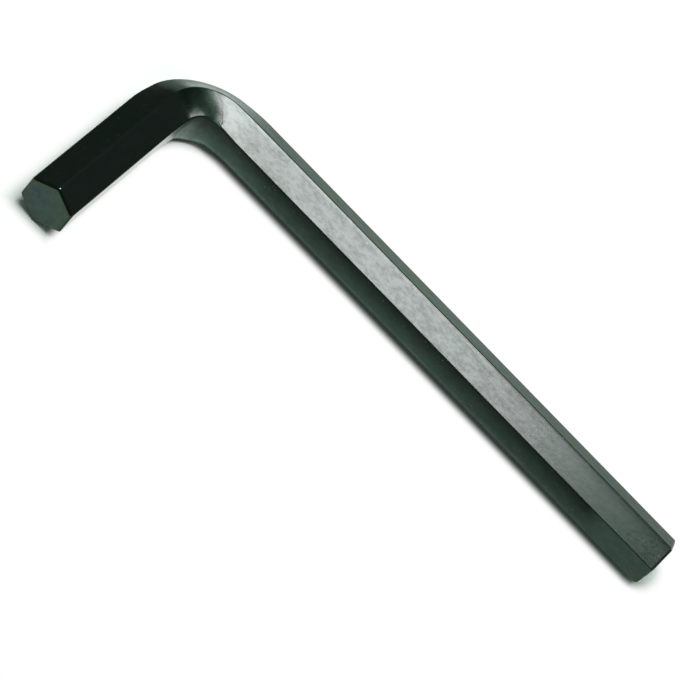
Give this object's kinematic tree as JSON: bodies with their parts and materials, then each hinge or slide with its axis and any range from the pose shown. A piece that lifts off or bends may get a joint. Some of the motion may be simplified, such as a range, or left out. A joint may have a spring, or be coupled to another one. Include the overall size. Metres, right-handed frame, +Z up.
{
  "type": "hex key",
  "caption": "L-shaped hexagonal steel key with a long and a short arm, for turning screws that have a hexagon socket.",
  "frame": {"origin": "on the ground under the middle of the object's box, with the key lying flat on one long edge of its bar", "axes": "+X along the long arm towards its end, -Y along the short arm towards its end, +Z up, across two corners of the hexagon"},
  "size_m": [0.079, 0.031, 0.0068],
  "materials": {
    "black_oxide_steel": "satin black oxide with a slight green cast"
  },
  "bodies": {
    "root": {"hex_key": "black_oxide_steel"}
  },
  "joints": []
}
